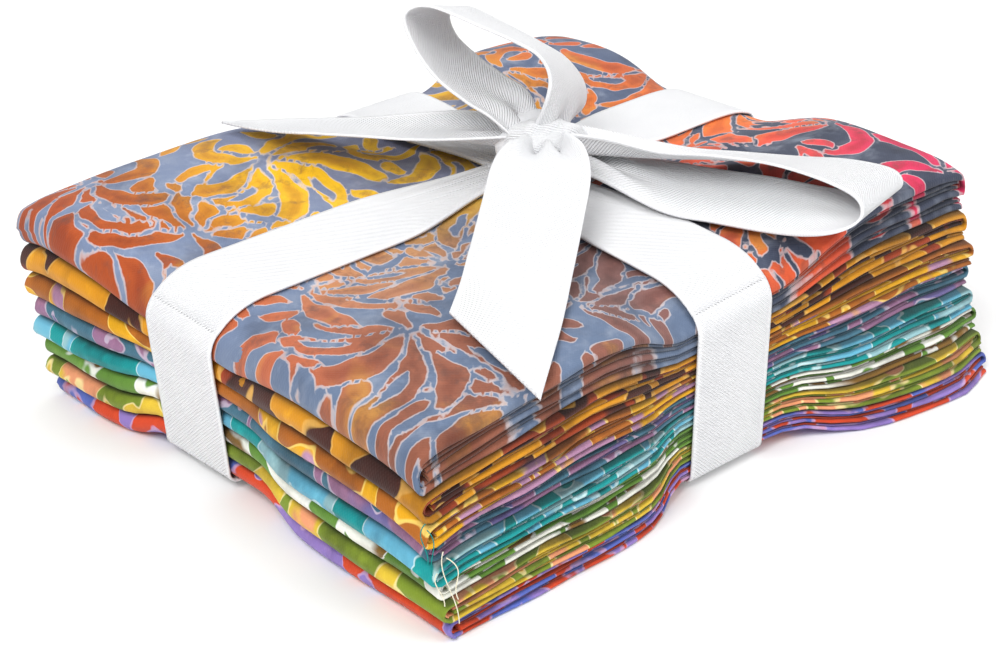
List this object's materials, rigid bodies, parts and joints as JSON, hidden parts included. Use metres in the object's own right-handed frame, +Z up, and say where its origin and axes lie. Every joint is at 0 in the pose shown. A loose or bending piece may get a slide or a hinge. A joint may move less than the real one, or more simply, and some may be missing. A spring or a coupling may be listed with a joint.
{
  "type": "fat quarter bundle",
  "caption": "Bundle of folded batik cotton quarters in a neat pile, tied crosswise with a white twill ribbon and a bow on top.",
  "frame": {"origin": "Middle of the whole outline in plan, on the surface that the pile rests on.", "axes": "+X runs along the long side of the folded quarters, towards the end with the double folds; +Y runs along their short side, away from the side where the plies show; +Z is up through the pile."},
  "size_m": [0.1906, 0.1662, 0.0949],
  "materials": {
    "batik_lavender": "matte",
    "batik_peach": "matte",
    "batik_cream": "matte",
    "batik_aqua": "matte",
    "batik_mauve": "matte",
    "batik_gold": "matte",
    "batik_chocolate": "matte",
    "batik_slate": "matte",
    "ribbon": "satin"
  },
  "bodies": {
    "root": {"fat_quarter_1": "batik_lavender", "fat_quarter_2": "batik_peach", "fat_quarter_3": "batik_cream", "fat_quarter_4": "batik_aqua", "fat_quarter_5": "batik_mauve", "fat_quarter_6": "batik_gold", "fat_quarter_7": "batik_chocolate", "fat_quarter_8": "batik_slate", "ribbon": "ribbon"}
  },
  "joints": []
}
